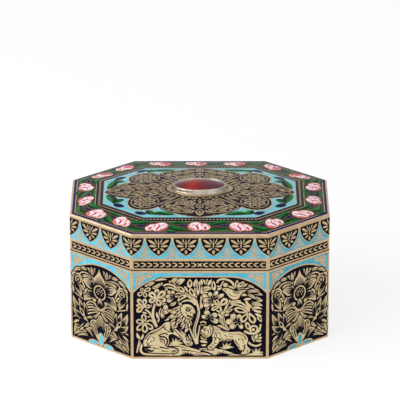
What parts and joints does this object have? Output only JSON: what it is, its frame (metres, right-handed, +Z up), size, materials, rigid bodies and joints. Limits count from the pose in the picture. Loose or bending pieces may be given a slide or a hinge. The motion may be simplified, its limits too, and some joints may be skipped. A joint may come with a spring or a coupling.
{
  "type": "enamel box",
  "caption": "Octagonal gilded box with enamelled walls and a cushioned lift-off lid set with an oval red stone, for keeping small things.",
  "frame": {"origin": "centre of the foot's outline, on the surface the box stands on", "axes": "+X along the long side, to the right seen from the front; +Y towards the back; +Z up"},
  "size_m": [0.092, 0.069, 0.0541],
  "materials": {
    "gilt_metal": "satin gilding",
    "plain_gilt": "plain polished gilding",
    "dark_enamel": "glossy",
    "turquoise_enamel": "glossy",
    "cobalt_enamel": "glossy",
    "rose_ground_enamel": "clear enamel over gilt ground",
    "silver": "polished",
    "red_stone": "polished"
  },
  "bodies": {
    "base": {"base_plate": "gilt_metal", "base_wall_front": "gilt_metal", "base_wall_front_right": "gilt_metal", "base_wall_right": "gilt_metal", "base_wall_back_right": "gilt_metal", "base_wall_back": "gilt_metal", "base_wall_back_left": "gilt_metal", "base_wall_left": "gilt_metal", "base_wall_front_left": "gilt_metal", "lip_strips": "plain_gilt", "panel_enamel_front": "dark_enamel", "panel_enamel_front_right": "dark_enamel", "panel_enamel_right": "dark_enamel", "panel_enamel_back_right": "dark_enamel", "panel_enamel_back": "dark_enamel", "panel_enamel_back_left": "dark_enamel", "panel_enamel_left": "dark_enamel", "panel_enamel_front_left": "dark_enamel", "spandrel_enamel_front": "turquoise_enamel", "spandrel_enamel_front_right": "turquoise_enamel", "spandrel_enamel_right": "turquoise_enamel", "spandrel_enamel_back_right": "turquoise_enamel", "spandrel_enamel_back": "turquoise_enamel", "spandrel_enamel_back_left": "turquoise_enamel", "spandrel_enamel_left": "turquoise_enamel", "spandrel_enamel_front_left": "turquoise_enamel"},
    "lid": {"lid_wall_front": "gilt_metal", "lid_wall_front_right": "gilt_metal", "lid_wall_right": "gilt_metal", "lid_wall_back_right": "gilt_metal", "lid_wall_back": "gilt_metal", "lid_wall_back_left": "gilt_metal", "lid_wall_left": "gilt_metal", "lid_wall_front_left": "gilt_metal", "lid_top": "gilt_metal", "chevron_enamel": "dark_enamel", "petal_enamel": "dark_enamel", "lid_field_enamel": "turquoise_enamel", "blue_line_enamel": "cobalt_enamel", "rose_border_enamel": "rose_ground_enamel", "bead_band_enamel": "dark_enamel", "field_enamel": "turquoise_enamel", "medallion_enamel": "dark_enamel", "collet_seat": "gilt_metal", "collet": "silver", "stone_foil": "silver", "stone": "red_stone"}
  },
  "joints": [
    {"name": "lid_lift", "type": "slide", "parent": "base", "child": "lid", "axis": [0, 0, 1], "range_m": [0, 0.06]}
  ]
}
